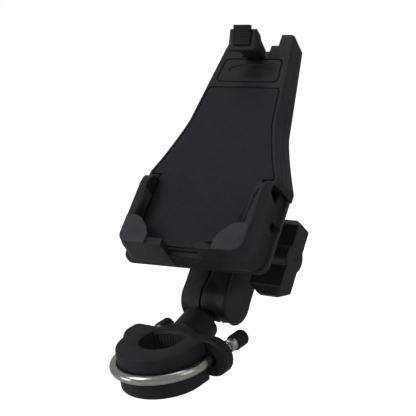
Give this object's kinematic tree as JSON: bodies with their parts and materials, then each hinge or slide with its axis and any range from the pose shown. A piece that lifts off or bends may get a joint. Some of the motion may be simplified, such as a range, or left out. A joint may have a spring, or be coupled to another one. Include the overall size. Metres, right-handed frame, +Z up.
{
  "type": "phone handlebar mount",
  "caption": "Handlebar phone mount: U-bolt clamp with rubber liner, two-ball arm with wing knob, and a cradle with a lipped tray and sprung top jaw.",
  "frame": {"origin": "on the handlebar's axis, level with the middle of the U-bolt", "axes": "+Z up along the handlebar, +Y from the handlebar towards the arm and cradle, +X to the right, the side of the wing knob"},
  "size_m": [0.0958, 0.1857, 0.182],
  "materials": {
    "moulded_black": "fine moulded grain, satin",
    "frame_black": "satin moulded",
    "tray_black": "satin with grained lips",
    "knob_black": "satin with worn bright edges",
    "pad_rubber": "matt",
    "liner_rubber": "matt, slightly waxy",
    "ball_rubber": "matt",
    "cap_plastic": "satin",
    "stainless": "bright drawn wire",
    "zinc_steel": "bright zinc",
    "spring_steel": "drawn wire",
    "brass": "turned"
  },
  "bodies": {
    "base": {"base_body": "moulded_black", "saddle_pad": "liner_rubber"},
    "clamp": {"u_bolt": "stainless", "bar_liner": "liner_rubber"},
    "sleeve_left": {"nut_sleeve_left": "zinc_steel"},
    "sleeve_right": {"nut_sleeve_right": "zinc_steel"},
    "cap_left": {"nut_cap_left": "cap_plastic"},
    "cap_right": {"nut_cap_right": "cap_plastic"},
    "ball_low": {"lower_ball": "ball_rubber"},
    "arm": {"arm_half_left": "moulded_black", "arm_screw": "zinc_steel", "arm_spring": "spring_steel"},
    "arm_jaw": {"arm_half_right": "moulded_black", "arm_washer": "zinc_steel"},
    "knob": {"wing_knob": "knob_black", "knob_insert": "brass"},
    "ball_high": {"upper_ball": "ball_rubber"},
    "cradle": {"ball_plate": "moulded_black", "plate_screws": "zinc_steel", "back_shell": "frame_black", "front_frame": "frame_black", "main_pad": "pad_rubber", "top_panel": "frame_black", "tray": "tray_black", "side_liners": "liner_rubber", "side_screws": "zinc_steel", "frame_screws": "zinc_steel", "spring_pins": "zinc_steel", "jaw_springs": "spring_steel"},
    "jaw": {"jaw_slider": "frame_black", "jaw_head": "tray_black", "jaw_pad": "liner_rubber"}
  },
  "joints": [
    {"name": "clamp_slide", "type": "slide", "parent": "base", "child": "clamp", "axis": [0, -1, 0], "range_m": [0, 0.008]},
    {"name": "nut_left_travel", "type": "slide", "parent": "clamp", "child": "sleeve_left", "axis": [0, -1, 0], "range_m": [0, 0.0065]},
    {"name": "nut_right_travel", "type": "slide", "parent": "clamp", "child": "sleeve_right", "axis": [0, -1, 0], "range_m": [0, 0.0065]},
    {"name": "nut_left_turn", "type": "hinge", "parent": "sleeve_left", "child": "cap_left", "pos_m": [-0.027, 0.031, 0], "axis": [0, -1, 0], "range_deg": [0, 2340]},
    {"name": "nut_right_turn", "type": "hinge", "parent": "sleeve_right", "child": "cap_right", "pos_m": [0.027, 0.031, 0], "axis": [0, -1, 0], "range_deg": [0, 2340]},
    {"name": "ball_low_twist", "type": "hinge", "parent": "base", "child": "ball_low", "pos_m": [0, 0.054, 0.014], "axis": [0, 0.9164, 0.4003], "range_deg": [-30, 30]},
    {"name": "arm_tilt", "type": "hinge", "parent": "ball_low", "child": "arm", "pos_m": [0, 0.054, 0.014], "axis": [1, 0, 0], "range_deg": [-48, 1.5]},
    {"name": "arm_opening", "type": "slide", "parent": "arm", "child": "arm_jaw", "axis": [1, 0, 0], "range_m": [0, 0.0015], "deforming": ["arm_spring"]},
    {"name": "knob_turn", "type": "hinge", "parent": "arm_jaw", "child": "knob", "pos_m": [0, 0.07494, 0.03686], "axis": [1, 0, 0], "range_deg": [0, 540]},
    {"name": "cradle_tilt", "type": "hinge", "parent": "arm", "child": "ball_high", "pos_m": [0, 0.09589, 0.05971], "axis": [1, 0, 0], "range_deg": [-45, 14]},
    {"name": "cradle_turn", "type": "hinge", "parent": "ball_high", "child": "cradle", "pos_m": [0, 0.09589, 0.05971], "axis": [0.1638, -0.5674, 0.807], "range_deg": [-90, 90]},
    {"name": "jaw_slide", "type": "slide", "parent": "cradle", "child": "jaw", "axis": [-0.1255, 0.7994, 0.5876], "range_m": [0, 0.028], "stiffness_N_per_m": 150, "springref_m": -0.03, "deforming": ["jaw_springs"]}
  ],
  "couplings": [
    {"joint": "nut_left_turn", "follows": "nut_left_travel", "rad_per_m": 6283.2},
    {"joint": "nut_right_turn", "follows": "nut_right_travel", "rad_per_m": 6283.2},
    {"joint": "knob_turn", "follows": "arm_opening", "rad_per_m": 6283.2}
  ]
}
